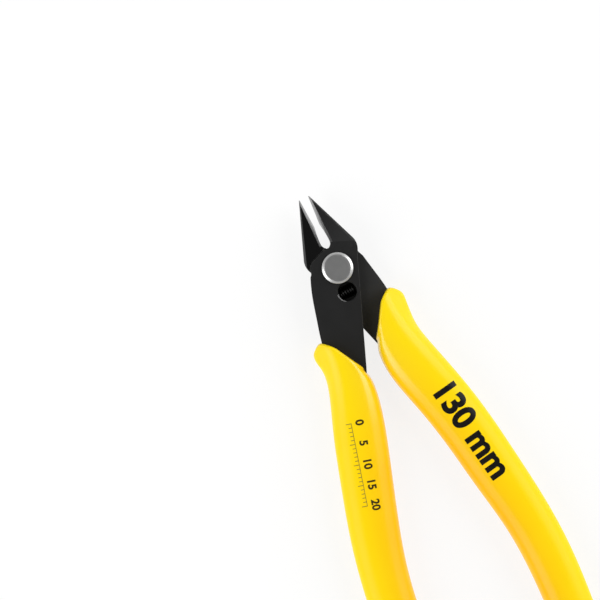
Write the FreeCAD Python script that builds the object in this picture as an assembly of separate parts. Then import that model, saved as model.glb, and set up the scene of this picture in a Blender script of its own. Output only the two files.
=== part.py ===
"""Flush cut pliers: two lapped blades on one pivot pin, a coil return spring
in a pocket between them, and a dipped grip on each tang.

Frame: the pivot axis is Z and the origin is the centre of the pivot head's flat
face. The jaws point along +Y and the handles along -Y. The model is written open,
as the return spring holds it. Lengths are millimetres and angles are degrees.
"""
import FreeCAD, Part
import math
import os

Vec = FreeCAD.Vector
Z_AXIS = Vec(0, 0, 1)

# ---- Blades -------------------------------------------------------------------
plate_t = 2.6          # thickness of each blade's plate
lap_gap = 0.06         # running gap between the two lapped plates
rest_angle = 6.9       # angle between the blades when the spring holds them open
handle_skew = 2.6      # both handles are bent this far the same way
hub_r = 5.3            # inner hub radius, at the foot of the jaws
hub_shoulder_r = 6.5   # outer hub radius, under the other blade's shoulder
hub_clear = 0.16       # gap between a hub and the other blade's jaw

# ---- Jaws ---------------------------------------------------------------------
tip_y = 18.7           # pivot to the ends of the tips
tip_w = 0.2            # width of each tip
tip_t = 0.8            # thickness of the tips
tip_rise = 0.5         # flush side at the tips, above the middle of the lap
shoulder_top = (6.05, 5.8)
shoulder_mid = (6.5, 4.3)
shoulder_low = (6.2, 2.3)
jaw_foot_y = 3.0       # the full depth of a jaw starts here
flush_foot_y = 5.0     # the flush side leaves the back of the plate here
edge_y = 11.5          # foot of the cutting edge, where the relief slot starts
relief_mid = (0.32, 10.0)
relief_side = (0.7, 7.6)
relief_low = (0.62, 6.1)
relief_foot_y = 5.4
edge_gap = 0.015       # each edge stops this short of the middle when closed
bevel_foot_y = 6.4     # the ground facets run out here, beside the slot
bevel_foot_w = 1.3     # their width from the middle at that place
bevel_tip_w = 0.46     # and at the tip
steep_share = 0.5      # the steep facet's share of that width
steep_height = 0.68    # and of the jaw's thickness
crease_inner = (1.2, 6.3)
crease_outer = (5.6, 4.85)
rear_jaw_drop = 0.15   # rear jaw's face below the front plate, at the slot
rear_jaw_lean = 0.7    # how much lower that face is at the shoulder
outer_chamfer = 0.5    # chamfer along the outer edge of each jaw

# ---- Tangs, closed, for a handle on the +X side ---------------------------------
tang_start = (6.9, 0.0)
inner_start = (-5.6, 1.0)
front_tang_outer = [(8.12, -5.0), (8.87, -10.0), (9.6, -15.5), (9.7, -21.0), (9.7, -27.0),
                    (11.0, -35.0), (13.6, -46.0)]
front_tang_inner = [(8.6, -47.0), (5.4, -37.0), (2.9, -29.5), (1.4, -24.6)]
rear_tang_outer = [(7.8, -5.0), (8.55, -10.0), (8.5, -16.0), (8.2, -22.0), (8.8, -30.0),
                   (10.6, -37.0), (13.6, -46.0)]
rear_tang_inner = [(8.6, -47.0), (5.6, -37.5), (2.7, -28.0), (0.3, -19.7)]
tang_end_round = 2.0   # how far the rounded end of each tang bulges

# ---- Pivot ----------------------------------------------------------------------
head_d = 7.6           # pivot head
head_h = 0.75
head_bevel_w = 0.6     # bright bevel round the head
head_bevel_h = 0.35
shank_d = 4.6
shank_clear = 0.03     # radial running clearance of the shank in the blades
collar_d = 7.6
collar_h = 0.75
collar_gap = 0.06      # running gap between the rear blade and the collar
collar_bevel = 0.3

# ---- Return spring, its pocket and its window ---------------------------------------
spring_x = -0.3        # centre of the pocket and of the window
spring_y = -6.1
pocket_l = 4.0         # length of the pocket, across the tool
pocket_clear = 0.1     # gap round the spring in its pocket
web_t = 1.0            # plate left over the pocket, round the window
window_d = 4.6
window_bevel = 0.25
coil_d = 3.0           # outer diameter of the spring
wire_d = 0.5
coil_pitch = 0.66
spring_clear = 0.06    # gap at each end of the spring when the tool is open

# ---- Grips, closed, for a handle on the +X side -------------------------------------
grip_t = 10.4          # thickness, centred on the lap
grip_round = 3.6       # rounding along the grips
grip_foot = [(18.7, -60.0), (20.2, -74.0), (20.2, -90.0), (18.9, -103.5), (17.2, -109.5),
             (13.3, -111.8), (9.3, -109.8), (8.2, -104.0), (8.9, -90.0), (8.5, -74.0),
             (6.1, -60.0)]
left_grip_outer = [(12.4, -16.4), (12.5, -19.5), (12.05, -24.6), (12.8, -30.6), (14.95, -39.6),
                   (16.85, -49.8)]
left_grip_inner = [(4.0, -50.0), (1.4, -36.0), (1.2, -29.5), (1.7, -25.9)]
left_mouth = [(4.7, -21.3), (7.4, -17.6), (10.4, -15.75)]
right_grip_outer = [(11.3, -10.6), (11.4, -13.6), (11.05, -18.4), (12.05, -25.2), (14.15, -33.3),
                    (16.5, -43.4)]
right_grip_inner = [(4.8, -50.5), (1.85, -37.3), (-0.4, -26.2), (0.1, -20.2)]
right_mouth = [(1.9, -18.0), (5.4, -12.4), (9.2, -9.6)]

# ---- Heights, from the face of the pivot head downwards -------------------------------
z_front = -head_h
z_lap_top = z_front - plate_t
z_lap_low = z_lap_top - lap_gap
z_back = z_lap_low - plate_t
z_collar = z_back - collar_gap - collar_h
z_mid = (z_lap_top + z_lap_low) / 2
z_flush_tip = z_mid + tip_rise
z_face_tip = z_flush_tip + tip_t
overcut = 1.0          # how far a cutting block reaches past what it cuts


def at(point, z=0.0):
    """A 2-D point as a vector at height z."""
    return Vec(point[0], point[1], z)


def polar(radius, angle):
    """The point at this radius and angle about the pivot."""
    a = math.radians(angle)
    return Vec(radius * math.cos(a), radius * math.sin(a), 0)


def line(a, b):
    return Part.makeLine(a, b)


def arc(a, b, c):
    """The arc from a through b to c."""
    return Part.Arc(a, b, c).toShape()


def spline(points):
    curve = Part.BSplineCurve()
    curve.interpolate(points)
    return curve.toShape()


def prism(edges, z_low, z_high):
    """The solid between two heights over a closed outline."""
    wire = Part.Wire(edges)
    wire.translate(Vec(0, 0, z_low))
    return Part.Face(wire).extrude(Vec(0, 0, z_high - z_low))


def turned(shape, angle):
    """A copy turned about the pivot."""
    copy = shape.copy()
    copy.rotate(Vec(), Z_AXIS, angle)
    return copy


def mirrored(shape):
    """A copy on the other side of the middle plane."""
    return shape.mirror(Vec(), Vec(1, 0, 0))


def skewed(points, angle):
    """Closed outline points, with the handle bent about the pivot by an angle."""
    turn = FreeCAD.Rotation(Z_AXIS, angle)
    return [turn.multVec(at(p)) for p in points]


def cut_beyond(shape, p1, p2, p3):
    """Cut off what lies on the side that the normal (p2-p1)x(p3-p1) points to."""
    reach = 4 * tip_y
    slab = Part.makeBox(reach, reach, reach, Vec(-reach / 2, -reach / 2, 0))
    normal = (p2 - p1).cross(p3 - p1)
    slab.Placement = FreeCAD.Placement(p1, FreeCAD.Rotation(Z_AXIS, normal))
    return shape.cut(slab)


# ---- Blades -------------------------------------------------------------------------
def hub_sector(grow, z_low, z_high):
    """The part of a hub that the other blade's jaw goes round, made larger by a gap."""
    inner = hub_r + grow
    outer = hub_shoulder_r + grow
    edges = [
        line(Vec(), polar(inner, 60)),
        arc(polar(inner, 60), polar(inner, 90), polar(inner, 118)),
        line(polar(inner, 118), polar(outer, 148)),
        arc(polar(outer, 148), polar(outer, 160), polar(outer, 178)),
        line(polar(outer, 178), Vec()),
    ]
    return prism(edges, z_low, z_high)


def blade_outline(tang_outer, tang_inner, skew):
    """A whole blade from above, closed: its jaw is at +X and its tang at -X."""
    outer = [Vec(-p.x, p.y, 0) for p in skewed([tang_start] + tang_outer, skew)]
    inner = [Vec(-p.x, p.y, 0) for p in skewed(tang_inner, skew)]
    start = Vec(-inner_start[0], inner_start[1], 0)
    heel = (outer[-1] + inner[0]) / 2 - Vec(0, tang_end_round, 0)
    tip_inner = Vec(edge_gap, tip_y, 0)
    return [
        line(polar(hub_r, 90), Vec(0, edge_y, 0)),
        line(Vec(0, edge_y, 0), tip_inner),
        line(tip_inner, Vec(tip_w, tip_y, 0)),
        line(Vec(tip_w, tip_y, 0), at(shoulder_top)),
        arc(at(shoulder_top), at(shoulder_mid), at(shoulder_low)),
        line(at(shoulder_low), start),
        line(start, inner[-1]),
        spline(inner[::-1]),
        arc(inner[0], heel, outer[-1]),
        spline(outer[::-1]),
        line(outer[0], polar(hub_shoulder_r, 172)),
        arc(polar(hub_shoulder_r, 172), polar(hub_shoulder_r, 160), polar(hub_shoulder_r, 148)),
        line(polar(hub_shoulder_r, 148), polar(hub_r, 118)),
        arc(polar(hub_r, 118), polar(hub_r, 104), polar(hub_r, 90)),
    ]


def jaw_block(outline, other_low, other_high):
    """A jaw at its full depth, clear of the other blade's hub as it opens."""
    block = prism(outline, z_back, z_front)
    jaw_area = Part.makeBox(hub_r * 3, tip_y, grip_t, Vec(0, jaw_foot_y, z_back - overcut))
    block = block.common(jaw_area)
    for angle in (0.0, rest_angle / 2, rest_angle):
        other_hub = turned(mirrored(hub_sector(hub_clear, other_low, other_high)), angle)
        block = block.cut(other_hub)
    return max(block.Solids, key=lambda solid: solid.Volume)


def relief_slot():
    """Half of the drop-shaped slot behind the cutting edges."""
    foot = Vec(0, relief_foot_y, 0)
    top = Vec(0, edge_y, 0)
    side = spline([foot, at(relief_low), at(relief_side), at(relief_mid), top])
    return prism([side, line(top, foot)], z_back - overcut, z_front + overcut)


def ground_edge(shape, face_foot_z):
    """Grind the two facets that slope down to the cutting edge."""
    rise = (z_flush_tip - z_back) / (tip_y - flush_foot_y)
    foot_z = z_back + rise * (bevel_foot_y - flush_foot_y)
    edge_foot = Vec(edge_gap, bevel_foot_y, foot_z)
    edge_tip = Vec(edge_gap, tip_y, z_flush_tip)
    face_foot = Vec(bevel_foot_w, bevel_foot_y, face_foot_z)
    face_tip = Vec(bevel_tip_w, tip_y, z_face_tip)
    turn_foot = edge_foot + Vec(bevel_foot_w * steep_share, 0, (face_foot_z - foot_z) * steep_height)
    turn_tip = edge_tip + Vec(bevel_tip_w * steep_share, 0, tip_t * steep_height)
    ground = Part.makeBox(tip_y, tip_y, plate_t * 4, Vec(-overcut, bevel_foot_y, z_back - overcut))
    rest = shape.cut(ground)
    edge = shape.common(ground)
    edge = cut_beyond(edge, edge_foot, turn_foot, edge_tip)
    edge = cut_beyond(edge, turn_foot, face_foot, turn_tip)
    return rest.fuse(edge)


def flush_side(shape):
    """Grind the flat flush side, which climbs from the back of the plate to the tips."""
    foot = Vec(0, flush_foot_y, z_back)
    tip = Vec(0, tip_y, z_flush_tip)
    return cut_beyond(shape, foot, tip, foot + Vec(1, 0, 0))


def outer_bevel(shape, foot_z):
    """Chamfer the jaw's outer edge, from the shoulder to the tip."""
    foot = at(shoulder_top, foot_z - outer_chamfer)
    tip = Vec(tip_w, tip_y, z_face_tip - outer_chamfer / 2)
    return cut_beyond(shape, foot, tip, foot + Vec(-1, 0, 1))


def spring_pocket(lap_z, inward):
    """Half the pocket, in the lap face of one plate; inward is the way into the plate.

    The two halves line up when the tool is open. Closing shifts one half along
    the other, which squeezes the spring.
    """
    depth = plate_t - web_t
    width = coil_d + 2 * pocket_clear
    low = min(lap_z, lap_z + inward * depth)
    corner = Vec(spring_x - pocket_l / 2, spring_y - width / 2, low)
    return Part.makeBox(pocket_l, width, depth, corner)


def spring_window():
    """The round window over the pocket, in the front plate only, with a bevelled rim."""
    foot = Vec(spring_x, spring_y, z_front - web_t)
    hole = Part.makeCylinder(window_d / 2, 2 * web_t, foot)
    rim_foot = Vec(spring_x, spring_y, z_front - window_bevel)
    rim = Part.makeCone(window_d / 2, window_d / 2 + window_bevel, window_bevel, rim_foot)
    return hole.fuse(rim)


def pin_bore():
    return Part.makeCylinder(shank_d / 2 + shank_clear, plate_t * 4, Vec(0, 0, z_back - overcut))


def front_blade():
    """Right jaw and left tang, in the upper plate."""
    outline = blade_outline(front_tang_outer, front_tang_inner, handle_skew)
    plate = prism(outline, z_lap_top, z_front)
    jaw = jaw_block(outline, z_back - overcut, z_lap_top)
    blade = plate.fuse(jaw).cut(relief_slot())
    blade = flush_side(blade)
    crease = [at(crease_inner, z_front), at(crease_outer, z_front)]
    blade = cut_beyond(blade, crease[0], crease[1], Vec(edge_gap, tip_y, z_face_tip))
    blade = ground_edge(outer_bevel(blade, z_front), z_front)
    blade = turned(blade.removeSplitter(), -rest_angle / 2)
    return blade.cut([spring_pocket(z_lap_top, 1), spring_window(), pin_bore()])


def rear_blade():
    """Left jaw and right tang, in the lower plate. It is made as a right jaw, then mirrored."""
    outline = blade_outline(rear_tang_outer, rear_tang_inner, -handle_skew)
    plate = prism(outline, z_back, z_lap_low)
    jaw = jaw_block(outline, z_lap_low, z_front + overcut)
    slot_foot = Vec(bevel_foot_w, bevel_foot_y, z_front - rear_jaw_drop)
    shoulder = at(shoulder_top, z_front - rear_jaw_drop - rear_jaw_lean)
    jaw = cut_beyond(jaw, shoulder, Vec(edge_gap, tip_y, z_face_tip), slot_foot)
    blade = plate.fuse(jaw).cut(relief_slot())
    blade = flush_side(blade)
    blade = ground_edge(outer_bevel(blade, shoulder.z), slot_foot.z)
    blade = turned(mirrored(blade.removeSplitter()), rest_angle / 2)
    return blade.cut([spring_pocket(z_lap_low, -1), pin_bore()])


# ---- Pivot ----------------------------------------------------------------------------
def pivot_pin():
    """The bevelled head and the shank, which the collar is pressed onto."""
    rim = Part.makeCylinder(head_d / 2, head_h - head_bevel_h, Vec(0, 0, -head_h))
    bevel = Part.makeCone(head_d / 2, head_d / 2 - head_bevel_w, head_bevel_h,
                          Vec(0, 0, -head_bevel_h))
    shank = Part.makeCylinder(shank_d / 2, z_front - z_collar, Vec(0, 0, z_collar))
    return rim.fuse([bevel, shank]).removeSplitter()


def pivot_collar():
    ring = Part.makeCylinder(collar_d / 2, collar_h, Vec(0, 0, z_collar))
    edge = max(ring.Edges, key=lambda e: e.Length if e.CenterOfMass.z < z_collar + 0.01 else 0)
    ring = ring.makeChamfer(collar_bevel, [edge])
    return ring.cut(Part.makeCylinder(shank_d / 2, collar_h, Vec(0, 0, z_collar)))


# ---- Return spring -----------------------------------------------------------------------
def return_spring():
    """A compression coil across the tool, between the ends of the pocket."""
    half = pocket_l / 2 - spring_clear - wire_d / 2
    mean_r = (coil_d - wire_d) / 2
    helix = Part.makeHelix(coil_pitch, 2 * half, mean_r)
    start = Part.Circle(Vec(mean_r, 0, 0), Vec(0, 1, 0), wire_d / 2).toShape()
    coil = Part.Wire(helix).makePipeShell([Part.Wire(start)], True, True)
    coil.rotate(Vec(), Vec(0, 1, 0), 90)
    coil.translate(Vec(spring_x - half, spring_y, z_mid))
    return coil


# ---- Grips ---------------------------------------------------------------------------------
def grip(outer, inner, mouth, skew, tang):
    """A dipped grip with an oblique mouth, closed round a tang, for the +X side."""
    reach = Vec(0, grip_t, 0)
    side_line = skewed(outer + grip_foot + inner, skew)
    side_line = [side_line[0] + reach] + side_line + [side_line[-1] + reach]
    low = z_mid - grip_t / 2
    body = prism([spline(side_line), line(side_line[-1], side_line[0])], low, low + grip_t)
    lengthwise = [edge for edge in body.Edges if edge.Length > 10 * grip_t]
    body = body.makeFillet(grip_round, lengthwise)
    mouth_line = [side_line[-2]] + skewed(mouth, skew) + [side_line[1]]
    mouth_line = [mouth_line[0] - Vec(grip_t, 0, 0)] + mouth_line + [mouth_line[-1] + Vec(grip_t, 0, 0)]
    far = [mouth_line[-1] + 3 * reach, mouth_line[0] + 3 * reach]
    beyond = [spline(mouth_line), line(mouth_line[-1], far[0]), line(far[0], far[1]),
              line(far[1], mouth_line[0])]
    body = body.cut(prism(beyond, low - overcut, low + grip_t + overcut))
    return body.cut(tang)


def grips(front, rear):
    """Both grips, each moved with its own blade from closed to the rest position."""
    left_tang = mirrored(turned(front, rest_angle / 2))
    left = grip(left_grip_outer, left_grip_inner, left_mouth, handle_skew, left_tang)
    right_tang = turned(rear, -rest_angle / 2)
    right = grip(right_grip_outer, right_grip_inner, right_mouth, -handle_skew, right_tang)
    return turned(mirrored(left), -rest_angle / 2), turned(right, rest_angle / 2)


def main():
    os.makedirs("parts", exist_ok=True)
    front = front_blade()
    rear = rear_blade()
    left, right = grips(front, rear)
    nodes = {
        "front_blade": front,
        "rear_blade": rear,
        "pivot_pin": pivot_pin(),
        "pivot_collar": pivot_collar(),
        "return_spring": return_spring(),
        "left_grip": left,
        "right_grip": right,
    }
    for name, shape in nodes.items():
        shape.exportStep(f"parts/{name}.step")
        box = shape.optimalBoundingBox()
        print(f"{name}: {len(shape.Solids)} solid, valid {shape.isValid()}, "
              f"{shape.Volume:.1f} mm3, x {box.XMin:.2f} {box.XMax:.2f}, "
              f"y {box.YMin:.2f} {box.YMax:.2f}, z {box.ZMin:.2f} {box.ZMax:.2f}")


main()
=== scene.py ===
# %% [markdown]
# # Flush cut pliers
# A pair of small flush cut pliers: two black steel blades, lapped one over the other and turned on
# a pin, with a little return spring in a window behind the pin and a yellow dipped grip on each
# tang. The moving frame comes from CAD. This lesson dresses it: each step says what the real piece
# is, how it could be made in Blender, and why this way was taken. Lengths are metres, and MM turns
# millimetres into them.

# %% Load the frame
import math
from collections import namedtuple

import bmesh
import bpy
from mathutils import Matrix, Vector
from mathutils.bvhtree import BVHTree


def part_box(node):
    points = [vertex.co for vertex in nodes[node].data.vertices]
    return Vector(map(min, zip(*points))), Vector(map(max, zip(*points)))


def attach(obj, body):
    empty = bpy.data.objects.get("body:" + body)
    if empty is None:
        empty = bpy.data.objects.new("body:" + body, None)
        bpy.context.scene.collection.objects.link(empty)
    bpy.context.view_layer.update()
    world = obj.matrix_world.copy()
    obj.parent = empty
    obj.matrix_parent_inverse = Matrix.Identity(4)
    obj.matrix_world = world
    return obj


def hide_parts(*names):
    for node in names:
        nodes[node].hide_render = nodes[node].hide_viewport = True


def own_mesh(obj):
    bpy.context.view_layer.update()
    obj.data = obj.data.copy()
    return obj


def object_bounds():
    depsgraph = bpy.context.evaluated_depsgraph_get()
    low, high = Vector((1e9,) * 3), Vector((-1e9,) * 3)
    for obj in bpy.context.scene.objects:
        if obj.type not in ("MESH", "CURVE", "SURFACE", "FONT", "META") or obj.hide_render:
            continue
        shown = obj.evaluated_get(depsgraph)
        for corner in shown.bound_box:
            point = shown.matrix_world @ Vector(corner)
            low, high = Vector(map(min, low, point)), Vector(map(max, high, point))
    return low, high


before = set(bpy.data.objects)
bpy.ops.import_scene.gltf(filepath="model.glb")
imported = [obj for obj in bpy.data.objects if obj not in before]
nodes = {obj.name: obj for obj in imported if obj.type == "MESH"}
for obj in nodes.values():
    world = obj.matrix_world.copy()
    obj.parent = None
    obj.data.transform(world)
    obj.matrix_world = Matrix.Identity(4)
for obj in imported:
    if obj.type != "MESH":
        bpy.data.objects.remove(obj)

cad_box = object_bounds()
MM = 0.001

# %% [markdown]
# ## The view
# The pliers are seen from straight above, tips up and leaning a little to the left, the grips
# running out of the frame. A long lens keeps the plates from spreading in perspective. The camera
# is placed by three numbers: the point it looks at, the turn about its own line of sight, and the
# width of table that it takes in. From those the distance follows.

# %% Camera
LOOK_AT = Vector((-11.45, -3.02, -3.0)) * MM
ROLL = math.radians(25.7)
SEEN_WIDTH = 144.6 * MM
LENS = 135.0
SENSOR = 36.0

camera_data = bpy.data.cameras.new("camera")
camera_data.lens = LENS
camera_data.sensor_width = SENSOR
camera_data.clip_start = 0.01
camera_data.clip_end = 20.0
camera = bpy.data.objects.new("camera", camera_data)
bpy.context.scene.collection.objects.link(camera)
distance = SEEN_WIDTH * LENS / SENSOR
camera.location = LOOK_AT + Vector((0, 0, distance))
camera.rotation_euler = (0, 0, -ROLL)
bpy.context.scene.camera = camera
bpy.context.scene.view_settings.view_transform = "Standard"

view_right = Vector((math.cos(ROLL), -math.sin(ROLL), 0))
view_up = Vector((math.sin(ROLL), math.cos(ROLL), 0))
print("camera", [round(c, 4) for c in camera.location])

# %% [markdown]
# ## The sky
# Satin black steel shows what stands opposite it. So the sky is dim overhead, where the flat
# plates mirror it, and white near the horizon. A plain grey sky would do for the grips, but it
# would lift the blades to grey. The few helpers here keep every shader tree in the lesson short.

# %% Helpers for shader nodes
MIX_FACTOR, MIX_FIRST, MIX_SECOND, MIX_RESULT = 0, 6, 7, 2


def add(tree, kind, **values):
    """A node of this kind; values are sockets by name, or settings of the node."""
    made = tree.nodes.new(kind)
    for name, value in values.items():
        if hasattr(made, name):
            setattr(made, name, value)
        else:
            made.inputs[name.replace("_", " ")].default_value = value
    return made


def join(tree, start, end):
    """Join an output to an input."""
    tree.links.new(start, end)


def mixed(tree, factor, first, second):
    """A colour between first and second, each a colour or a socket."""
    made = add(tree, "ShaderNodeMix", data_type="RGBA")
    join(tree, factor, made.inputs[MIX_FACTOR])
    for socket, value in ((made.inputs[MIX_FIRST], first), (made.inputs[MIX_SECOND], second)):
        if isinstance(value, tuple):
            socket.default_value = (*value, 1)
        else:
            join(tree, value, socket)
    return made.outputs[MIX_RESULT]


def grey(level):
    """The colour of a neutral grey."""
    return (level, level, level)


# %% Sky
HORIZON_TO = 0.25
OVERHEAD_FROM = 0.85
HORIZON = grey(1.0)
OVERHEAD = grey(0.14)

world = bpy.data.worlds.new("sky")
bpy.context.scene.world = world
world.use_nodes = True
sky = world.node_tree
sky.nodes.clear()
where = add(sky, "ShaderNodeTexCoord")
split = add(sky, "ShaderNodeSeparateXYZ")
fade = add(
    sky, "ShaderNodeMapRange", interpolation_type="SMOOTHSTEP",
    From_Min=HORIZON_TO, From_Max=OVERHEAD_FROM,
)
light = add(sky, "ShaderNodeBackground")
out = add(sky, "ShaderNodeOutputWorld")
join(sky, where.outputs["Generated"], split.inputs[0])
join(sky, split.outputs["Z"], fade.inputs["Value"])
join(sky, mixed(sky, fade.outputs["Result"], HORIZON, OVERHEAD), light.inputs["Color"])
join(sky, light.outputs[0], out.inputs[0])
print("sky from", HORIZON[0], "to", OVERHEAD[0])

# %% [markdown]
# ## The soft boxes
# Two broad soft boxes stand one beyond each side of the tool and face in. They draw the streaks
# along the rounded grips and light the ring of the pin. Sun lamps would need less care, but their
# small image leaves hard white dots on gloss, where a box leaves a soft band.

# %% Soft boxes
BOX_TILT = math.radians(52)
BOX_SIZE = (0.50, 0.68)
BOX_DISTANCE = 0.75
LIT_POINT = Vector((0, -0.03, 0))


def soft_box(name, side, power):
    """A rectangular lamp in the direction side, tilted away from overhead, facing in."""
    lamp = bpy.data.lights.new(name, "AREA")
    lamp.shape = "RECTANGLE"
    lamp.size, lamp.size_y = BOX_SIZE
    lamp.energy = power
    holder = bpy.data.objects.new(name, lamp)
    bpy.context.scene.collection.objects.link(holder)
    away = side * math.sin(BOX_TILT) + Vector((0, 0, math.cos(BOX_TILT)))
    holder.location = LIT_POINT + away * BOX_DISTANCE
    along = Vector((0, 0, 1)).cross(side).normalized()
    holder.rotation_euler = Matrix((along, away.cross(along), away)).transposed().to_euler()
    print(name, [round(c, 3) for c in holder.location], power, "W")


upper_right = (view_right + view_up * 0.5).normalized()
soft_box("soft_box_right", upper_right, 3.7)
soft_box("soft_box_left", -upper_right, 3.2)

# %% [markdown]
# ## The table
# A pale table carries the pliers. Brighter lamps would whiten it, but they would wash out the
# yellow too. So its paint glows towards the camera and towards mirrors, which a Light Path node
# tells apart, and stays plain for every other ray. Part of the paint shows through the glow, and
# that part holds the tool's soft shadow.

# %% Table
TABLE_GAP = 0.00002
TABLE_SIZE = 4.0
TABLE_PAINT = grey(0.85)
GLOW = 1.04
GLOW_SHARE = 0.80


def maths(tree, operation, first, second):
    """The result of a Math node on two values, each a number or a socket."""
    made = add(tree, "ShaderNodeMath", operation=operation)
    for socket, value in zip(made.inputs, (first, second)):
        if isinstance(value, float):
            socket.default_value = value
        else:
            join(tree, value, socket)
    return made.outputs[0]


floor_z = cad_box[0][2] - TABLE_GAP
floor_bm = bmesh.new()
bmesh.ops.create_grid(floor_bm, x_segments=1, y_segments=1, size=TABLE_SIZE)
bmesh.ops.translate(floor_bm, verts=floor_bm.verts, vec=(0, 0, floor_z))
floor_mesh = bpy.data.meshes.new("table")
floor_bm.to_mesh(floor_mesh)
floor_bm.free()
table = bpy.data.objects.new("table", floor_mesh)
bpy.context.scene.collection.objects.link(table)

paint = bpy.data.materials.new("table_white")
paint.use_nodes = True
tree = paint.node_tree
plain = tree.nodes["Principled BSDF"]
plain.inputs["Base Color"].default_value = (*TABLE_PAINT, 1)
plain.inputs["Roughness"].default_value = 0.9
plain.inputs["Specular IOR Level"].default_value = 0.1
white = add(tree, "ShaderNodeEmission", Strength=GLOW)
path = add(tree, "ShaderNodeLightPath")
seen = maths(tree, "MAXIMUM", path.outputs["Is Camera Ray"], path.outputs["Is Glossy Ray"])
seen = maths(tree, "MAXIMUM", seen, path.outputs["Is Transmission Ray"])
blend = add(tree, "ShaderNodeMixShader")
join(tree, maths(tree, "MULTIPLY", seen, GLOW_SHARE), blend.inputs[0])
join(tree, plain.outputs[0], blend.inputs[1])
join(tree, white.outputs[0], blend.inputs[2])
join(tree, blend.outputs[0], tree.nodes["Material Output"].inputs["Surface"])
floor_mesh.materials.append(paint)
print("table at", round(floor_z, 5))

# %% [markdown]
# ## Shared effects
# Four small node groups carry what several finishes share: a fine grain with a slower mottle over
# it, wear along edges, grinding lines that run one way, and rings from a lathe. Each is built
# once, puts out only values that change over the surface, and is dropped into a material with
# that material's own numbers. Painting them as images would need unwrapped meshes and would not
# stay sharp close up.

# %% Group: grain and mottle
def group(name, inputs, outputs):
    """An empty node group with float inputs (name, default) and float outputs."""
    made = bpy.data.node_groups.new(name, "ShaderNodeTree")
    for label, default in inputs:
        socket = made.interface.new_socket(label, in_out="INPUT", socket_type="NodeSocketFloat")
        socket.default_value = default
    for label in outputs:
        made.interface.new_socket(label, in_out="OUTPUT", socket_type="NodeSocketFloat")
    print("group", name, [label for label, _ in inputs], "to", outputs)
    return made, made.nodes.new("NodeGroupInput"), made.nodes.new("NodeGroupOutput")


grain_group, given, result = group(
    "grain_and_mottle", [("Grain Scale", 9000.0), ("Mottle Scale", 350.0)], ["Grain", "Mottle"]
)
place = add(grain_group, "ShaderNodeTexCoord")
fine = add(grain_group, "ShaderNodeTexNoise", Detail=3.0, Roughness=0.6)
slow = add(grain_group, "ShaderNodeTexNoise", Detail=4.0, Roughness=0.55)
for noise, scale, value in ((fine, "Grain Scale", "Grain"), (slow, "Mottle Scale", "Mottle")):
    join(grain_group, place.outputs["Object"], noise.inputs["Vector"])
    join(grain_group, given.outputs[scale], noise.inputs["Scale"])
    join(grain_group, noise.outputs["Fac"], result.inputs[value])

# %% Group: worn edges
# The attribute "edge" is 1 on the small rounded rims and 0 elsewhere. Noise breaks the wear up:
# the more Cover, the lower the noise may be where the coat is gone.
BARE_FROM = 0.85
BARE_FULL = 0.75

wear_group, given, result = group(
    "worn_edges", [("Patch Scale", 900.0), ("Cover", 0.5)], ["Worn"]
)
place = add(wear_group, "ShaderNodeTexCoord")
edge = add(wear_group, "ShaderNodeAttribute", attribute_name="edge")
patch = add(wear_group, "ShaderNodeTexNoise", Detail=5.0, Roughness=0.65)
sharp = add(wear_group, "ShaderNodeMapRange", From_Max=BARE_FULL)
join(wear_group, place.outputs["Object"], patch.inputs["Vector"])
join(wear_group, given.outputs["Patch Scale"], patch.inputs["Scale"])
start = maths(wear_group, "SUBTRACT", BARE_FROM, given.outputs["Cover"])
join(wear_group, start, sharp.inputs["From Min"])
join(wear_group, patch.outputs["Fac"], sharp.inputs["Value"])
worn = maths(wear_group, "MULTIPLY", sharp.outputs["Result"], edge.outputs["Fac"])
join(wear_group, worn, result.inputs["Worn"])

# %% Group: grinding lines
lines_group, given, result = group(
    "grinding_lines", [("Across", 14000.0), ("Along", 600.0)], ["Lines"]
)
place = add(lines_group, "ShaderNodeTexCoord")
stretch = add(lines_group, "ShaderNodeMapping")
scales = add(lines_group, "ShaderNodeCombineXYZ")
streak = add(lines_group, "ShaderNodeTexNoise", Scale=1.0, Detail=2.0, Roughness=0.5)
for scale, axis in (("Along", "X"), ("Across", "Y"), ("Along", "Z")):
    join(lines_group, given.outputs[scale], scales.inputs[axis])
join(lines_group, place.outputs["Object"], stretch.inputs["Vector"])
join(lines_group, scales.outputs[0], stretch.inputs["Scale"])
join(lines_group, stretch.outputs[0], streak.inputs["Vector"])
join(lines_group, streak.outputs["Fac"], result.inputs["Lines"])

# %% Group: lathe rings
# The pin's axis is Z through the origin, so the distance from it gives the rings.
rings_group, given, result = group("lathe_rings", [("Ring Scale", 9000.0)], ["Rings"])
place = add(rings_group, "ShaderNodeTexCoord")
flatten = add(rings_group, "ShaderNodeVectorMath", operation="MULTIPLY")
flatten.inputs[1].default_value = (1, 1, 0)
radius = add(rings_group, "ShaderNodeVectorMath", operation="LENGTH")
ring = add(rings_group, "ShaderNodeTexNoise", noise_dimensions="1D", Detail=3.0, Roughness=0.6)
join(rings_group, place.outputs["Object"], flatten.inputs[0])
join(rings_group, flatten.outputs[0], radius.inputs[0])
join(rings_group, radius.outputs["Value"], ring.inputs["W"])
join(rings_group, given.outputs["Ring Scale"], ring.inputs["Scale"])
join(rings_group, ring.outputs["Fac"], result.inputs["Rings"])

# %% [markdown]
# ## Black phosphate
# The plates are blackened in a hot bath, which leaves a thin, even and dull coat. A flat black
# would do from afar. Here the coat has a slow mottle, a grain that breaks the gloss, and bare
# patches on the rounded rims. Each plate also gets its own greys as painted light and shade: the
# rear plate is painted lighter against the shade it lies in under the front plate and the grips,
# and the milled jaw faces take painted light and shade, lighter at the front's shoulder and darker
# towards its tip. So the recipe is a function.
# Every finish in this lesson is one Principled shader: what is the same all over sits on its own
# sockets, and what changes over the surface comes from the groups.

# %% Helpers for finishes
NOISE_LOW, NOISE_HIGH = 0.3, 0.7


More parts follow.
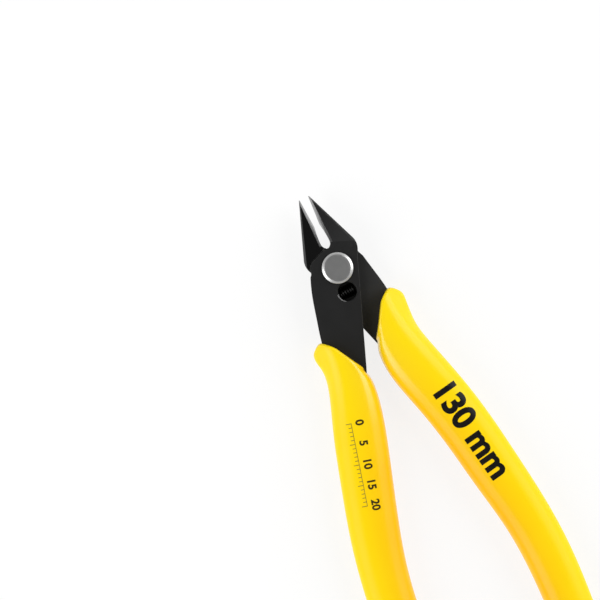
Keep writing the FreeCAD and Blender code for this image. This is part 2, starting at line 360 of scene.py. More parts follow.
def finish(name, **constants):
    """A material with these constants on its Principled shader."""
    made = bpy.data.materials.new(name)
    made.use_nodes = True
    shader = made.node_tree.nodes["Principled BSDF"]
    for label, value in constants.items():
        shader.inputs[label.replace("_", " ")].default_value = value
    print("finish", name, constants)
    return made, made.node_tree, shader


def use(tree, effect, **values):
    """A shared effect with this material's own numbers."""
    return add(tree, "ShaderNodeGroup", node_tree=effect, **values)


def spread(tree, source, low, high, start=NOISE_LOW, stop=NOISE_HIGH):
    """source from start..stop becomes a value from low..high."""
    made = add(
        tree, "ShaderNodeMapRange", From_Min=start, From_Max=stop, To_Min=low, To_Max=high
    )
    join(tree, source, made.inputs["Value"])
    return made.outputs["Result"]


def dented(tree, shader, height, depth):
    """A bump of this depth, in metres, from height to the shader's Normal."""
    made = add(tree, "ShaderNodeBump", Strength=1.0, Distance=depth)
    join(tree, height, made.inputs["Height"])
    join(tree, made.outputs[0], shader.inputs["Normal"])


# %% Black phosphate
MOTTLE_SPAN = 0.06
RUBBED_STEEL = (0.075, 0.074, 0.072)
JAW_SHADE_FROM = 4 * MM
JAW_SHADE_TO = 13 * MM


def phosphate(name, gloss, plate, shoulder, jaw):
    """Blackened steel: gloss is the specular level; plate, shoulder and jaw are greys. The last two
    are painted light and shade on the jaw's milled face, running from the shoulder to the tip."""
    made, tree, shader = finish(name, Specular_IOR_Level=gloss)
    grain = use(tree, grain_group, Grain_Scale=7000.0, Mottle_Scale=260.0)
    worn = use(tree, wear_group, Patch_Scale=700.0, Cover=0.5)
    place = add(tree, "ShaderNodeTexCoord")
    axes = add(tree, "ShaderNodeSeparateXYZ")
    milled = add(tree, "ShaderNodeAttribute", attribute_name="milled")
    join(tree, place.outputs["Object"], axes.inputs[0])
    mottle = spread(tree, grain.outputs["Mottle"], 0.0, 1.0)
    dark = mixed(tree, mottle, grey(plate * (1 - MOTTLE_SPAN)), grey(plate * (1 + MOTTLE_SPAN)))
    along = spread(tree, axes.outputs["Y"], 0.0, 1.0, JAW_SHADE_FROM, JAW_SHADE_TO)
    face = mixed(tree, along, grey(shoulder), grey(jaw))
    # On the milled jaw faces the colour is painted light and shade, running along Y.
    with_painted_shade = mixed(tree, milled.outputs["Fac"], dark, face)
    join(tree, mixed(tree, worn.outputs[0], with_painted_shade, RUBBED_STEEL), shader.inputs["Base Color"])
    join(tree, spread(tree, grain.outputs["Mottle"], 0.46, 0.50), shader.inputs["Roughness"])
    dented(tree, shader, grain.outputs["Grain"], 0.004 * MM)
    return made


# The front's shoulder and jaw greys are painted light and shade on its milled jaw face.
front_phosphate_painted_shading = phosphate("front_phosphate_painted_shading", 0.16, plate=0.0135, shoulder=0.022, jaw=0.010)
# The rear plate's grey is painted lighter against the shade it lies in; its jaw greys are painted
# shade.
rear_phosphate_painted_shading = phosphate("rear_phosphate_painted_shading", 0.08, plate=0.030, shoulder=0.0025, jaw=0.0030)

# %% [markdown]
# ## Ground steel
# The bevels beside the cutting edges and the flush face are ground after blackening, so they are
# bright, with fine lines across the edge. The outer chamfer of the left jaw was ground before the
# bath and only dulled by it. Anisotropic gloss would show the lines too, but not up close. Noise
# stretched one way draws them, in the colour and in the bump, and one recipe serves both greys.

# %% Ground steel
def ground(name, low, high):
    """Steel with grinding lines that run from one grey to the other."""
    made, tree, shader = finish(name, Metallic=1.0)
    lines = use(tree, lines_group, Across=9000.0, Along=500.0)
    grain = use(tree, grain_group, Grain_Scale=5000.0, Mottle_Scale=500.0)
    face = mixed(tree, spread(tree, lines.outputs[0], 0.0, 1.0), grey(low), grey(high))
    join(tree, face, shader.inputs["Base Color"])
    join(tree, spread(tree, grain.outputs["Mottle"], 0.26, 0.40), shader.inputs["Roughness"])
    dented(tree, shader, lines.outputs[0], 0.004 * MM)
    return made


ground_steel = ground("ground_steel", 0.22, 0.34)
dulled_steel = ground("dulled_steel", 0.055, 0.085)

# %% [markdown]
# ## Turned steel
# The pin and its collar come off a lathe. The face of the head is satin, with rings so faint that
# they show only in the roughness, and the bevel round it is polished. One steel with a mask would
# do, but two short materials are easier to read, and the faces can simply be given one or the
# other.

# %% Satin and polished steel
satin_steel, tree, shader = finish("satin_steel", Metallic=1.0)
rings = use(tree, rings_group, Ring_Scale=5200.0)
grain = use(tree, grain_group, Grain_Scale=6000.0, Mottle_Scale=420.0)
face = mixed(
    tree, spread(tree, grain.outputs["Mottle"], 0.0, 1.0), grey(0.39), (0.43, 0.43, 0.425)
)
join(tree, face, shader.inputs["Base Color"])
join(tree, spread(tree, rings.outputs[0], 0.34, 0.44), shader.inputs["Roughness"])
dented(tree, shader, grain.outputs["Grain"], 0.0025 * MM)

polished_steel, tree, shader = finish("polished_steel", Metallic=1.0)
rings = use(tree, rings_group, Ring_Scale=9000.0)
face = mixed(tree, rings.outputs[0], (0.52, 0.52, 0.515), (0.60, 0.60, 0.59))
join(tree, face, shader.inputs["Base Color"])
join(tree, spread(tree, rings.outputs[0], 0.33, 0.39), shader.inputs["Roughness"])

# %% [markdown]
# ## Oiled wire
# The spring is dark hard-drawn wire under a film of oil. The oil is a thin coat over the metal,
# thicker in some places than in others, so the gloss wanders along the wire. A smooth black metal
# would lack that.

# %% Oiled wire
# The same near-black finish also serves as painted shade inside the spring's window.
oiled_wire_and_painted_shade, tree, shader = finish("oiled_wire_and_painted_shade", Metallic=1.0, Coat_Roughness=0.15)
grain = use(tree, grain_group, Grain_Scale=9000.0, Mottle_Scale=1500.0)
drawn = mixed(tree, grain.outputs["Mottle"], grey(0.008), (0.022, 0.022, 0.021))
join(tree, drawn, shader.inputs["Base Color"])
join(tree, spread(tree, grain.outputs["Grain"], 0.25, 0.40), shader.inputs["Roughness"])
join(tree, spread(tree, grain.outputs["Mottle"], 0.05, 0.20), shader.inputs["Coat Weight"])

# %% [markdown]
# ## Yellow vinyl
# The grips are soft dipped vinyl, lemon yellow where the light meets them. Towards orange on the
# inner flanks and down the handles the colour is painted shade: the light could do that alone, but
# thin vinyl lets light through, and a subsurface shader costs much time for this little. The skin
# shines most on its inner flanks, near the mouth, where no hand rubs it.

# %% Yellow vinyl
# The attribute "inner" runs from -1 at the outer flank to 1 at the one that faces the other grip.
LEMON = (0.97, 0.725, 0.001)
SHADE_ORANGE = (0.97, 0.52, 0.001)
PALE = (0.97, 0.70, 0.002)
PAINTED_SHADE_FROM, PAINTED_SHADE_FULL = -18 * MM, -50 * MM
SHINY_TO, SHINE_GONE = -26 * MM, -38 * MM

yellow_vinyl, tree, shader = finish(
    "yellow_vinyl", Specular_IOR_Level=0.12, Coat_Roughness=0.25
)
grain = use(tree, grain_group, Grain_Scale=1400.0, Mottle_Scale=90.0)
place = add(tree, "ShaderNodeTexCoord")
axes = add(tree, "ShaderNodeSeparateXYZ")
join(tree, place.outputs["Object"], axes.inputs[0])
inner = add(tree, "ShaderNodeAttribute", attribute_name="inner").outputs["Fac"]
down = axes.outputs["Y"]
# Painted shade: the colour deepens to orange on the inner flanks and down the handles.
painted_shade = maths(
    tree, "MULTIPLY", spread(tree, down, 1.0, 0.25, PAINTED_SHADE_FULL, PAINTED_SHADE_FROM),
    spread(tree, inner, 0.15, 1.0, -0.5, 0.8),
)
yellow_with_painted_shade = mixed(tree, painted_shade, LEMON, SHADE_ORANGE)
cast = mixed(tree, spread(tree, grain.outputs["Mottle"], 0.0, 0.15), yellow_with_painted_shade, PALE)
join(tree, cast, shader.inputs["Base Color"])
join(tree, spread(tree, grain.outputs["Mottle"], 0.40, 0.46), shader.inputs["Roughness"])
gloss = maths(
    tree, "MULTIPLY", spread(tree, inner, 0.30, 1.0, -0.3, 0.3),
    spread(tree, down, 0.25, 1.0, SHINE_GONE, SHINY_TO),
)
join(tree, gloss, shader.inputs["Coat Weight"])
dented(tree, shader, grain.outputs["Grain"], 0.004 * MM)

# %% [markdown]
# ## Printing ink
# The marks on the grips are pad printed. The pad lays the ink thick in one spot and thin in the
# next, so each ink wanders between two tones. A single tone would look cut from paper.

# %% Printing ink
def ink(name, thin, thick):
    """A printing ink that wanders between two tones."""
    made, tree, shader = finish(name, Specular_IOR_Level=0.15)
    grain = use(tree, grain_group, Grain_Scale=5000.0, Mottle_Scale=900.0)
    tone = mixed(tree, spread(tree, grain.outputs["Mottle"], 0.0, 1.0), thin, thick)
    join(tree, tone, shader.inputs["Base Color"])
    join(tree, spread(tree, grain.outputs["Grain"], 0.30, 0.42), shader.inputs["Roughness"])
    return made


black_ink = ink("black_ink", grey(0.004), (0.010, 0.009, 0.008))
brown_ink = ink("brown_ink", (0.035, 0.022, 0.006), (0.055, 0.036, 0.008))
grey_ink = ink("grey_ink", (0.20, 0.15, 0.035), (0.28, 0.20, 0.04))

# %% [markdown]
# ## The blades
# Each blade is stamped from plate, milled and ground at the jaw, and blackened. The CAD solids
# already have the right shape, but their edges are knife sharp, and no real edge is. So each blade
# is a copy of its solid: the loose triangles are merged, flat neighbours dissolve into one face,
# and the rims of the plate get a narrow rounding that catches the light. The bevels beside the
# gap and the flush face stay sharp and take the ground steel. The milled face of the jaw carries
# painted light and shade, the window for the spring is painted dark inside as painted shade, and
# one side of its rim takes bright steel as a painted glint.

# %% Helpers for pieces
FLAT = math.radians(0.5)


def piece(name, bm, body, slot, *finishes, smooth=30):
    """A finished object from bm, riding on body."""
    mesh = bpy.data.meshes.new(name)
    bm.to_mesh(mesh)
    bm.free()
    for each in finishes:
        mesh.materials.append(each)
    mesh.shade_smooth()
    mesh.set_sharp_from_angle(angle=math.radians(smooth))
    made = bpy.data.objects.new(name, mesh)
    bpy.context.scene.collection.objects.link(made)
    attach(made, body)
    print(name, len(mesh.vertices), "vertices", len(mesh.polygons), "faces")
    return made


def merged(node):
    """The CAD node's mesh with its loose triangles joined and its flat faces whole."""
    mesh = nodes[node].data.copy()
    if "custom_normal" in mesh.attributes:
        mesh.attributes.remove(mesh.attributes["custom_normal"])
    bm = bmesh.new()
    bm.from_mesh(mesh)
    bpy.data.meshes.remove(mesh)
    bmesh.ops.remove_doubles(bm, verts=bm.verts, dist=0.001 * MM)
    bmesh.ops.dissolve_limit(bm, angle_limit=FLAT, verts=bm.verts[:], edges=bm.edges[:])
    bmesh.ops.dissolve_degenerate(bm, dist=0.01 * MM, edges=bm.edges[:])
    return bm


# %% Which faces are ground
GROUND_FROM_Y = 5.4 * MM
GAP_REACH = 2.8 * MM
TIP_BARE_Y = 17.1 * MM
SHOULDER_Y = 3.4 * MM


def is_ground(face, gap_side):
    """Whether a face is bright: a bevel on the gap's side, the flush face or the bare tip."""
    centre, normal = face.calc_center_median(), face.normal
    if centre.y < GROUND_FROM_Y:
        return False
    bevel = normal.x * gap_side > 0.85 and centre.x * -gap_side < GAP_REACH
    flush = normal.z < -0.95
    tip = centre.y > TIP_BARE_Y and normal.z > 0.8
    return bevel or flush or tip


def is_chamfer(face, gap_side):
    """Whether a face is the left jaw's outer chamfer."""
    outer = gap_side > 0 and face.normal.x < -0.5 and 0.5 < face.normal.z < 0.8
    return outer and face.calc_center_median().y > SHOULDER_Y


def is_milled(face):
    """Whether a face is the jaw's milled top, which slopes a little towards the tip."""
    return 0.9 < face.normal.z < 0.998 and face.calc_center_median().y > SHOULDER_Y


# %% Which faces belong to the window
spring_low, spring_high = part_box("return_spring")
spring_mid = (spring_low + spring_high) / 2
WINDOW_REACH = 2.9 * MM
RIM_LOWEST = -1 * MM
INSIDE_FROM = -1.2 * MM
INSIDE_TO = -4 * MM
PAINTED_GLINT_WAY = math.radians(25.8)
PAINTED_GLINT_SPAN = 0.863


def by_window(point):
    """Whether a point lies on the rim of the window."""
    return (point - spring_mid).xy.length < WINDOW_REACH and point.z > RIM_LOWEST


def is_painted_glint(face):
    """Whether a face is on the window's rim where bright steel paints a glint."""
    sideways = face.normal.xy.normalized()
    towards = sideways.dot(Vector((math.cos(PAINTED_GLINT_WAY), math.sin(PAINTED_GLINT_WAY))))
    slopes = 0.3 < face.normal.z < 0.9
    return by_window(face.calc_center_median()) and slopes and towards > PAINTED_GLINT_SPAN


def is_deep(face):
    """Whether a face lies inside the window, below its rim, where painted shade goes."""
    centre = face.calc_center_median()
    inside = (centre - spring_mid).xy.length < WINDOW_REACH and centre.z > INSIDE_TO
    return inside and (centre.z < INSIDE_FROM or abs(face.normal.z) < 0.3)


print("window at", [round(c / MM, 2) for c in spring_mid.xy], "mm")

# %% Blades from their solids
RIM = 0.09 * MM
RIM_TURN = math.radians(25)
COATED, BRIGHT, PAINTED_SHADE_INSIDE, DULLED = range(4)


def is_rim(edge):
    """Whether an edge is an outer rim of the plate, away from ground faces and the window."""
    return (
        len(edge.link_faces) == 2
        and edge.calc_face_angle_signed() > RIM_TURN
        and all(f.material_index == COATED for f in edge.link_faces)
        and any(abs(f.normal.z) > 0.9 for f in edge.link_faces)
        and not any(by_window(v.co) for v in edge.verts)
    )


def blade(name, node, body, gap_side, black):
    """A dressed blade; gap_side is the way along X that its cutting edge faces."""
    bm = merged(node)
    bmesh.ops.bisect_plane(
        bm, geom=bm.verts[:] + bm.edges[:] + bm.faces[:], dist=0.001 * MM,
        plane_co=(0, TIP_BARE_Y, 0), plane_no=(0, 1, 0),
    )
    milled = bm.faces.layers.float.new("milled")
    for face in bm.faces:
        # One side of the window's rim is a painted glint; inside the window is painted shade.
        if is_ground(face, gap_side) or is_painted_glint(face):
            face.material_index = BRIGHT
        elif is_chamfer(face, gap_side):
            face.material_index = DULLED
        elif is_deep(face):
            face.material_index = PAINTED_SHADE_INSIDE
        elif is_milled(face):
            face[milled] = 1.0
    rims = [e for e in bm.edges if is_rim(e)]
    edge = bm.faces.layers.float.new("edge")
    made = bmesh.ops.bevel(
        bm, geom=rims, offset=RIM, offset_type="OFFSET", affect="EDGES", segments=2,
        profile=0.5, material=-1, clamp_overlap=False,
    )
    for face in made["faces"]:
        face[edge] = 1.0
    print(name, len(rims), "rim edges rounded")
    # The wire finish on faces inside the window is painted shade.
    finishes = (black, ground_steel, oiled_wire_and_painted_shade, dulled_steel)
    return piece(name, bm, body, "black_steel", *finishes, smooth=20)


front = blade("front_blade_dressed", "front_blade", "front_half", -1, front_phosphate_painted_shading)
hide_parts("front_blade")
rear = blade("rear_blade_dressed", "rear_blade", "rear_half", 1, rear_phosphate_painted_shading)
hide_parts("rear_blade")

# %% [markdown]
# ## The pin and its collar
# The pin is turned from bright bar: a wide low head with a satin face and a polished bevel, a
# plain shank, and an end that is staked over a collar at the back. All of that is round, so half
# a section is drawn once, edge by edge, and spun about the pivot. A cylinder with a bevel would
# give the head but not the crown of its face or the staked end.

# %% Helper for turned pieces
TURN_STEPS = 128


def turned(section):
    """A closed solid of revolution about Z from (radius, height) points, in mm, top to bottom."""
    bm = bmesh.new()
    tip = bm.verts.new((section[0][0] * MM, 0, section[0][1] * MM))
    for radius, height in section[1:]:
        tip = bmesh.ops.extrude_vert_indiv(bm, verts=[tip])["verts"][0]
        tip.co = (radius * MM, 0, height * MM)
    bmesh.ops.spin(
        bm, geom=bm.verts[:] + bm.edges[:], cent=(0, 0, 0), axis=(0, 0, 1),
        angle=math.tau, steps=TURN_STEPS, use_merge=True, use_duplicate=False,
    )
    bmesh.ops.remove_doubles(bm, verts=bm.verts, dist=0.0001 * MM)
    bmesh.ops.recalc_face_normals(bm, faces=bm.faces)
    return bm


# %% Pin
# From the crown of the face over the bevel and down the shank to the staked end.
PIN_SECTION = [
    (0, -0.020), (1.4, -0.022), (2.6, -0.030), (3.05, -0.040), (3.20, -0.055), (3.27, -0.090),
    (3.69, -0.305), (3.75, -0.350), (3.79, -0.430), (3.80, -0.520), (3.79, -0.690), (3.74, -0.748),
    (2.30, -0.749), (2.27, -0.780), (2.27, -6.60), (2.22, -6.70), (2.05, -6.78), (1.80, -6.815),
    (0.9, -6.79), (0, -6.78),
]
FACE_REACH = 3.16 * MM
HEAD_FOOT = -1.0 * MM
SATIN, POLISHED = range(2)

pin_bm = turned(PIN_SECTION)
for face in pin_bm.faces:
    centre = face.calc_center_median()
    is_face = centre.xy.length < FACE_REACH
    face.material_index = SATIN if is_face or centre.z < HEAD_FOOT else POLISHED
pin = piece("pivot_pin_turned", pin_bm, "front_half", "bright_steel", satin_steel, polished_steel)
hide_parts("pivot_pin")

# %% Collar
COLLAR_SECTION = [
    (2.31, -6.075), (3.60, -6.075), (3.72, -6.11), (3.79, -6.20), (3.80, -6.38), (3.77, -6.52),
    (3.52, -6.77), (3.43, -6.810), (3.30, -6.818), (2.75, -6.818), (2.55, -6.80), (2.40, -6.72),
    (2.32, -6.60), (2.31, -6.075),
]
collar = piece(
    "pivot_collar_turned", turned(COLLAR_SECTION), "front_half", "bright_steel", satin_steel
)
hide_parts("pivot_collar")

# %% [markdown]
# ## The return spring
# Behind the pin a stubby spring lies across the tool in a window, half in each plate, and pushes
# the handles apart. A spring is a circle of wire carried round an axis while it moves along it,
# which is one spin with a step along the axis. The ends are closed turns, so the spin runs in
# three stretches with their own pitch. The coil is a little slimmer than the room it has, so that
# the closing plate passes it. It shortens as the pliers close.

# %% Sizes of the coil
WIRE = 0.5 * MM
SIDE_PLAY = 0.16 * MM
CLOSED_TURNS = 1.0
CLOSED_PITCH = 0.52 * MM
OPEN_TURNS = 3.5
STEPS_A_TURN = 32
WIRE_SIDES = 14

coil_radius = (spring_high.z - spring_low.z) / 2 - WIRE / 2 - SIDE_PLAY
spring_length = spring_high.x - spring_low.x
open_pitch = (spring_length - WIRE - 2 * CLOSED_TURNS * CLOSED_PITCH) / OPEN_TURNS
stretches = (
    (CLOSED_TURNS, CLOSED_PITCH), (OPEN_TURNS, open_pitch), (CLOSED_TURNS, CLOSED_PITCH)
)
print("spring", round(spring_length / MM, 2), "mm, pitch", round(open_pitch / MM, 3))

# %% Coil
coil_bm = bmesh.new()
tail = bmesh.ops.create_circle(
    coil_bm, segments=WIRE_SIDES, radius=WIRE / 2, cap_ends=False
)["verts"]
edges = list({e for v in tail for e in v.link_edges})
start = Vector((spring_low.x + WIRE / 2, spring_mid.y, spring_mid.z + coil_radius))
upright = Matrix.Rotation(math.pi / 2, 3, "X")
bmesh.ops.rotate(coil_bm, verts=tail, cent=(0, 0, 0), matrix=upright)
bmesh.ops.translate(coil_bm, verts=tail, vec=start)
for turns, pitch in stretches:
    steps = round(turns * STEPS_A_TURN)
    spun = bmesh.ops.spin(
        coil_bm, geom=tail + edges, cent=spring_mid, axis=(1, 0, 0), angle=turns * math.tau,
        dvec=(turns * pitch / steps, 0, 0), steps=steps, use_merge=False, use_duplicate=False,
    )["geom_last"]
    tail = [g for g in spun if isinstance(g, bmesh.types.BMVert)]
    edges = [g for g in spun if isinstance(g, bmesh.types.BMEdge)]
bmesh.ops.holes_fill(coil_bm, edges=[e for e in coil_bm.edges if e.is_boundary], sides=0)
bmesh.ops.recalc_face_normals(coil_bm, faces=coil_bm.faces)
coil = piece("return_spring_coil", coil_bm, "front_half", "spring_steel", oiled_wire_and_painted_shade, smooth=50)
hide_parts("return_spring")
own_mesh(coil)

# %% [markdown]
# ## The grips
# Each tang is dipped in soft vinyl that swells into a cushioned handle. It could be carved from
# the CAD solid by remeshing, but remeshed skin ripples under gloss. Here it is lofted: a ring
# with the section of the grip is set at station after station down the handle, the rings are
# bridged, and a subdivision surface smooths the skin. The stations are listed roughly and then
# stretched to the solid's own flanks, found by casting a ray each way. The first ones lean and
# bow to follow the oblique mouth, and the mouth and the foot close with their own rounding.

# %% Section of a grip
# The skin stays a film's thickness inside the solid, which leaves room for the printing.
grip_low, grip_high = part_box("left_grip")
grip_mid_z = (grip_high.z + grip_low.z) / 2
FILM = 0.03 * MM
HALF = (grip_high.z - grip_low.z) / 2 - FILM
SHOULDER = 4.2 * MM
FLAT_SIDE = HALF - SHOULDER
CORNER_STEPS = 6
TOP_SPLIT = (-0.6, 0.0, 0.6)


def section(reach, half):
    """Points (across, height) of a rounded ring, reach to each side and half up and down."""
    round_x = min(SHOULDER, reach * 0.98)
    round_z = max(half - FLAT_SIDE, 0.0)
    flat = reach - round_x
    side = min(FLAT_SIDE, half)
    corner = [
        (flat + round_x * math.cos(a), side + round_z * math.sin(a))
        for a in (math.pi / 2 * k / CORNER_STEPS for k in range(CORNER_STEPS + 1))
    ]
    top = [(s * flat, side + round_z) for s in TOP_SPLIT]
    upper = corner + [(x, z) for x, z in reversed(top)] + [(-x, z) for x, z in reversed(corner)]
    return upper + [(x, -z) for x, z in reversed(upper)]


print("ring of", len(section(5 * MM, HALF)), "points, half height", round(HALF / MM, 2), "mm")

# %% Rings down a grip
# A ring stands at its centre, across the handle; ahead points up the handle. It reaches this far
# to each side and half up and down, runs bow ahead at the horn, and is lifted off the middle. The
# foot's rings stand at these heights above its lowest point, in mm.
Ring = namedtuple("Ring", "centre across ahead reach half bow lift")
FOOT_STEPS = (4.6, 3.2, 2.0, 1.1, 0.45, 0.1)
RAY_REACH = 30 * MM


def centred(tree, point, across, height):
    """The middle of the solid along across through point, and how far it reaches each way."""
    origin = Vector((point.x, point.y, height))
    low, high = (tree.ray_cast(origin, way, RAY_REACH)[3] for way in (-across, across))
    return point + across * (high - low) / 2, (low + high) / 2


def handle_rings(tree, to_rest, up, stations, bows, height):
    """A ring at each station; a station is its inner and outer (x, y) in mm."""
    rings = []
    for (inner, outer), bow in zip(stations, bows):
        a, b = to_rest @ Vector((*inner, 0)) * MM, to_rest @ Vector((*outer, 0)) * MM
        across = (b - a).normalized()
        centre, reach = centred(tree, (a + b) / 2, across, height)
        rings.append(Ring(centre, across, up.cross(across), reach, HALF, bow * MM, 0.0))
    return rings


def foot_rings(tree, end, last, height):
    """Rings that round the foot off, from the last one down to the end point."""
    rings = []
    for step in FOOT_STEPS:
        point = end + last.ahead * step * MM
        centre, reach = centred(tree, point, last.across, height)
        depth = min(step * MM, SHOULDER)
        half = FLAT_SIDE + math.sqrt(SHOULDER ** 2 - (SHOULDER - depth) ** 2)
        rings.append(last._replace(centre=centre, reach=reach, half=half, bow=0.0))
    return rings


# %% Rings of a mouth
# The lip turns in over a small radius, then the skin runs in to a slit round the tang.
MOUTH_ROUND = 0.55 * MM
LIP_TURNS = (90, 60, 30)
SLIT_SHARE = 0.86
SLIT_HALF = 0.9 * MM
TANG_OFFSET = 1.33 * MM
BOW_RISE = 1.35
BOW_POWER = 1.1
HORN_POWER = 16


def mouth_rings(first, tang_side):
    """Rings from the slit round the tang over the lip to just before the first one."""
    slit = first._replace(
        reach=first.reach * SLIT_SHARE, half=SLIT_HALF, lift=tang_side * TANG_OFFSET
    )
    rings = [slit]
    for turn in LIP_TURNS:
        inset = MOUTH_ROUND * (1 - math.cos(math.radians(turn)))
        back = MOUTH_ROUND * (1 - math.sin(math.radians(turn)))
        rings.append(first._replace(
            centre=first.centre - first.ahead * back,
            reach=first.reach - inset, half=first.half - inset,
        ))
    return rings


def bowed(u, start):
    """How far a ring runs ahead at u, -1 at the gap's side to 1 at the horn; 1 is the most. The
    larger start is, the less the gap's side stays behind."""
    rise = (max(u + 1, 0) + start) / (BOW_RISE + start)
    return min(rise ** BOW_POWER, 1) * math.sqrt(max(1 - max(u, 0) ** HORN_POWER, 0))


# %% Loft a grip
CAST_SHARE = 0.7


def loop_into(bm, points):
    """A closed loop through these points: its vertices and its edges."""
    made = bmesh.ops.create_circle(bm, segments=len(points), radius=MM, cap_ends=False)["verts"]
    for vert, point in zip(made, points):
        vert.co = point
    return made, list({e for v in made for e in v.link_edges})


def loft(node, turn, mirror, tang_side, stations, bows, start, foot):
    """The closed skin of a grip. Stations run from the mouth down, drawn for the right handle
    before its turn; bows is how far each ring runs ahead, in mm, and start is for bowed; foot is
    the lowest point."""
    tree = BVHTree.FromObject(nodes[node], bpy.context.evaluated_depsgraph_get())
    to_rest = Matrix.Rotation(turn, 3, "Z")
    if mirror:
        to_rest = Matrix.Diagonal((-1, 1, 1)) @ to_rest
    up = Vector((0, 0, -1 if mirror else 1))
    height = grip_mid_z - tang_side * FLAT_SIDE * CAST_SHARE
    handle = handle_rings(tree, to_rest, up, stations, bows, height)
    first = handle[0]
    handle[0] = first._replace(centre=first.centre - first.ahead * MOUTH_ROUND)
    end = to_rest @ Vector((*foot, 0)) * MM
    rings = mouth_rings(first, tang_side) + handle + foot_rings(tree, end, handle[-1], height)

    bm = bmesh.new()
    inner = bm.verts.layers.float.new("inner")
    loops = []
    for ring in rings:
        full = first.reach if ring.bow else ring.reach
        shape = section(ring.reach, ring.half)
        verts, edges = loop_into(bm, [
            ring.centre + ring.across * x + ring.ahead * ring.bow * bowed(x / full, start)
            + Vector((0, 0, grip_mid_z + ring.lift + z))
            for x, z in shape
        ])
        for (x, _), vert in zip(shape, verts):
            vert[inner] = -x / ring.reach
        loops.append(edges)
    for upper, lower in zip(loops, loops[1:]):
        bmesh.ops.bridge_loops(bm, edges=upper + lower)
    bmesh.ops.holes_fill(bm, edges=[e for e in bm.edges if e.is_boundary], sides=0)
    bmesh.ops.recalc_face_normals(bm, faces=bm.faces)
    print(node, len(rings), "rings")
    return bm


# %% Stations of both grips
# The handles are alike from the waist down; at the top the left grip starts lower.
FOOT = (13.3, -111.8)
LOWER_STATIONS = [
    ((6.1, -60.2), (18.5, -58.0)), ((7.3, -66.5), (19.4, -65.0)), ((8.5, -74.0), (20.2, -73.4)),
    ((8.9, -82.0), (20.4, -82.0)), ((8.9, -90.0), (20.2, -90.0)), ((8.5, -97.0), (19.7, -97.8)),
    ((8.2, -103.0), (19.0, -104.0)),
]
LEFT_STATIONS = [
    ((1.75, -25.7), (12.5, -17.6)), ((1.5, -27.6), (12.45, -20.2)), ((1.25, -30.2), (12.1, -23.6)),
    ((1.3, -33.4), (12.2, -28.0)), ((1.7, -37.2), (13.3, -33.0)), ((2.5, -42.0), (14.8, -38.8)),
    ((3.6, -48.0), (16.2, -45.4)), ((4.9, -54.4), (17.5, -52.0)),
] + LOWER_STATIONS
RIGHT_STATIONS = [
    ((0.15, -20.0), (11.35, -11.9)), ((-0.05, -22.2), (11.4, -14.6)),
    ((-0.3, -24.8), (11.1, -17.9)), ((-0.3, -28.0), (11.4, -22.2)), ((0.3, -32.0), (12.3, -26.9)),
    ((1.3, -36.5), (13.5, -32.2)), ((2.9, -43.0), (15.3, -39.6)), ((4.6, -51.0), (17.0, -48.2)),
] + LOWER_STATIONS
NOT_BOWED = [0.0] * (1 + len(LOWER_STATIONS))
LEFT_BOWS = [3.2, 2.9, 2.4, 1.7, 1.1, 0.6, 0.2] + NOT_BOWED
RIGHT_BOWS = [3.5, 3.1, 2.6, 1.9, 1.2, 0.6, 0.2] + NOT_BOWED
print(len(LEFT_STATIONS), "stations on the left,", len(RIGHT_STATIONS), "on the right")

# %% Both grips
REST_TURN = 3.45
HANDLE_SKEW = 2.6
SKIN_LEVELS = 2


def smoothed(name, bm):
    """The mesh of bm after a subdivision surface."""
    rough = bpy.data.meshes.new(name)
    bm.to_mesh(rough)
    bm.free()
    cage = bpy.data.objects.new(name + "_cage", rough)
    bpy.context.scene.collection.objects.link(cage)
    skin = cage.modifiers.new("skin", "SUBSURF")
    skin.levels = skin.render_levels = SKIN_LEVELS
    graph = bpy.context.evaluated_depsgraph_get()
    result = bpy.data.meshes.new_from_object(cage.evaluated_get(graph))
    bpy.data.objects.remove(cage)
    bpy.data.meshes.remove(rough)
    return result


def grip(name, node, body, **shape):
    """A dipped grip that takes the place of its CAD node."""
    skin = smoothed(name, loft(node, **shape))
    bm = bmesh.new()
    bm.from_mesh(skin)
    bpy.data.meshes.remove(skin)
    made = piece(name, bm, body, "yellow_vinyl", yellow_vinyl, smooth=60)
    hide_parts(node)
    print(name, [round(min(v.co[k] for v in made.data.vertices) / MM, 2) for k in range(3)])
    return made


left_grip = grip(
    "left_grip_dipped", "left_grip", "front_half", turn=math.radians(HANDLE_SKEW + REST_TURN),
    mirror=True, tang_side=1, stations=LEFT_STATIONS, bows=LEFT_BOWS, start=0.28, foot=FOOT,
)
right_grip = grip(
    "right_grip_dipped", "right_grip", "rear_half", turn=math.radians(REST_TURN - HANDLE_SKEW),
    mirror=False, tang_side=-1, stations=RIGHT_STATIONS, bows=RIGHT_BOWS, start=0.06, foot=FOOT,
)

# %% [markdown]
# ## Printing
# Grips like these are printed by machine. What is printed here is plain: the tool's length on one
# grip, and a short scale on the other. It could be painted in by a mask, but ink stands up a
# little and has its own gloss, so each mark is a thin film: flat lettering is cut into small
# cells, so that it can bend, is dropped straight down on the vinyl, and gets the ink's thickness.

# %% Flat marks
def lettering(bm, text, size, bold, at=(0, 0)):
    """Add flat letters that read along +X, with their middle at this point."""
    curve = bpy.data.curves.new("letters", "FONT")
    curve.body, curve.size, curve.offset = text, size, bold
    curve.align_x = curve.align_y = "CENTER"
    curve.fill_mode = "FRONT"
    holder = bpy.data.objects.new("letters", curve)
    bpy.context.scene.collection.objects.link(holder)
    graph = bpy.context.evaluated_depsgraph_get()
    flat = bpy.data.meshes.new_from_object(holder.evaluated_get(graph))
    flat.transform(Matrix.Translation((*at, 0)))
    bm.from_mesh(flat)
    bpy.data.objects.remove(holder)
    bpy.data.meshes.remove(flat)


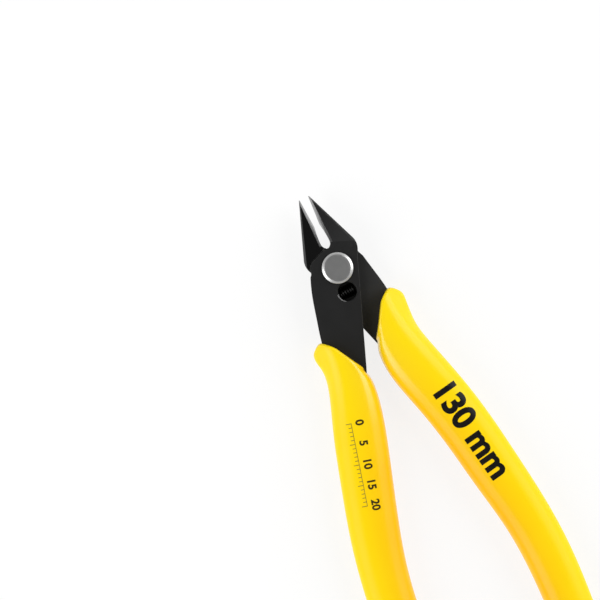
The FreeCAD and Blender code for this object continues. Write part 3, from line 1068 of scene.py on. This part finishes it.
def bar(bm, width, height, at):
    """Add a flat bar with its middle at this point."""
    made = bmesh.ops.create_grid(bm, x_segments=1, y_segments=1, size=0.5)["verts"]
    bmesh.ops.scale(bm, verts=made, vec=(width, height, 1))
    bmesh.ops.translate(bm, verts=made, vec=(*at, 0))


# %% Marks laid on a grip
CELL = 0.4 * MM
DROP_FROM = 50 * MM
DOWN = Vector((0, 0, -1))


def cut_into_cells(bm):
    """Cut flat marks by a square grid, so that they can bend."""
    for axis in (0, 1):
        side = Vector((1 - axis, axis, 0))
        low = min(v.co[axis] for v in bm.verts)
        high = max(v.co[axis] for v in bm.verts)
        for k in range(1, math.ceil((high - low) / CELL)):
            bmesh.ops.bisect_plane(
                bm, geom=bm.verts[:] + bm.edges[:] + bm.faces[:], dist=0.0001 * MM,
                plane_co=side * (low + k * CELL), plane_no=side,
            )


def printed(name, bm, at, heading, grip, body, ink):
    """Lay the flat marks in bm on a grip as a film; at is their middle, heading where they read."""
    bmesh.ops.remove_doubles(bm, verts=bm.verts, dist=0.0001 * MM)
    cut_into_cells(bm)
    turn = Matrix.Rotation(math.radians(heading), 4, "Z")
    to_grip = Matrix.Translation(Vector((*at, 0)) * MM) @ turn
    bmesh.ops.transform(bm, matrix=to_grip, verts=bm.verts)
    skin = BVHTree.FromObject(grip, bpy.context.evaluated_depsgraph_get())
    for vert in bm.verts:
        point, normal, _, _ = skin.ray_cast(Vector((vert.co.x, vert.co.y, DROP_FROM)), DOWN)
        vert.co = point + normal * FILM
    bmesh.ops.recalc_face_normals(bm, faces=bm.faces)
    for face in bm.faces:
        if face.normal.z < 0:
            face.normal_flip()
    bmesh.ops.solidify(bm, geom=bm.faces[:], thickness=2 * FILM)
    bmesh.ops.recalc_face_normals(bm, faces=bm.faces)
    return piece(name, bm, body, None, ink)


# %% Length on the right grip
size_bm = bmesh.new()
lettering(size_bm, "130 mm", 8.0 * MM, 0.30 * MM)
printed("right_grip_size_mark", size_bm, (11.9, -48.6), -80.7, right_grip, "rear_half", black_ink)

# %% Scale on the left grip
SCALE_HEADING = -104.5
NUMBER_STEP = 5
NUMBERS = 5
SHORT_TICK, LONG_TICK = 0.8 * MM, 1.3 * MM
TICK_FOOT = 0.65 * MM
TICK_WIDTH = 0.16 * MM
LINE_WIDTH = 0.12 * MM

numbers_bm = bmesh.new()
for k in range(NUMBERS):
    across = (k - NUMBERS // 2) * NUMBER_STEP * MM
    lettering(numbers_bm, str(k * NUMBER_STEP), 2.7 * MM, 0.09 * MM, (across, 0))
printed(
    "left_grip_scale_numbers", numbers_bm, (-13.9, -45.2), SCALE_HEADING, left_grip,
    "front_half", brown_ink,
)

half_scale = (NUMBERS - 1) * NUMBER_STEP // 2
ticks_bm = bmesh.new()
for k in range(-half_scale, half_scale + 1):
    height = LONG_TICK if k % NUMBER_STEP == 0 else SHORT_TICK
    bar(ticks_bm, TICK_WIDTH, height, (k * MM, TICK_FOOT - height / 2))
bar(ticks_bm, 2 * half_scale * MM + TICK_WIDTH, LINE_WIDTH, (0, TICK_FOOT))
printed(
    "left_grip_scale_ticks", ticks_bm, (-16.4, -44.5), SCALE_HEADING, left_grip, "front_half",
    grey_ink,
)
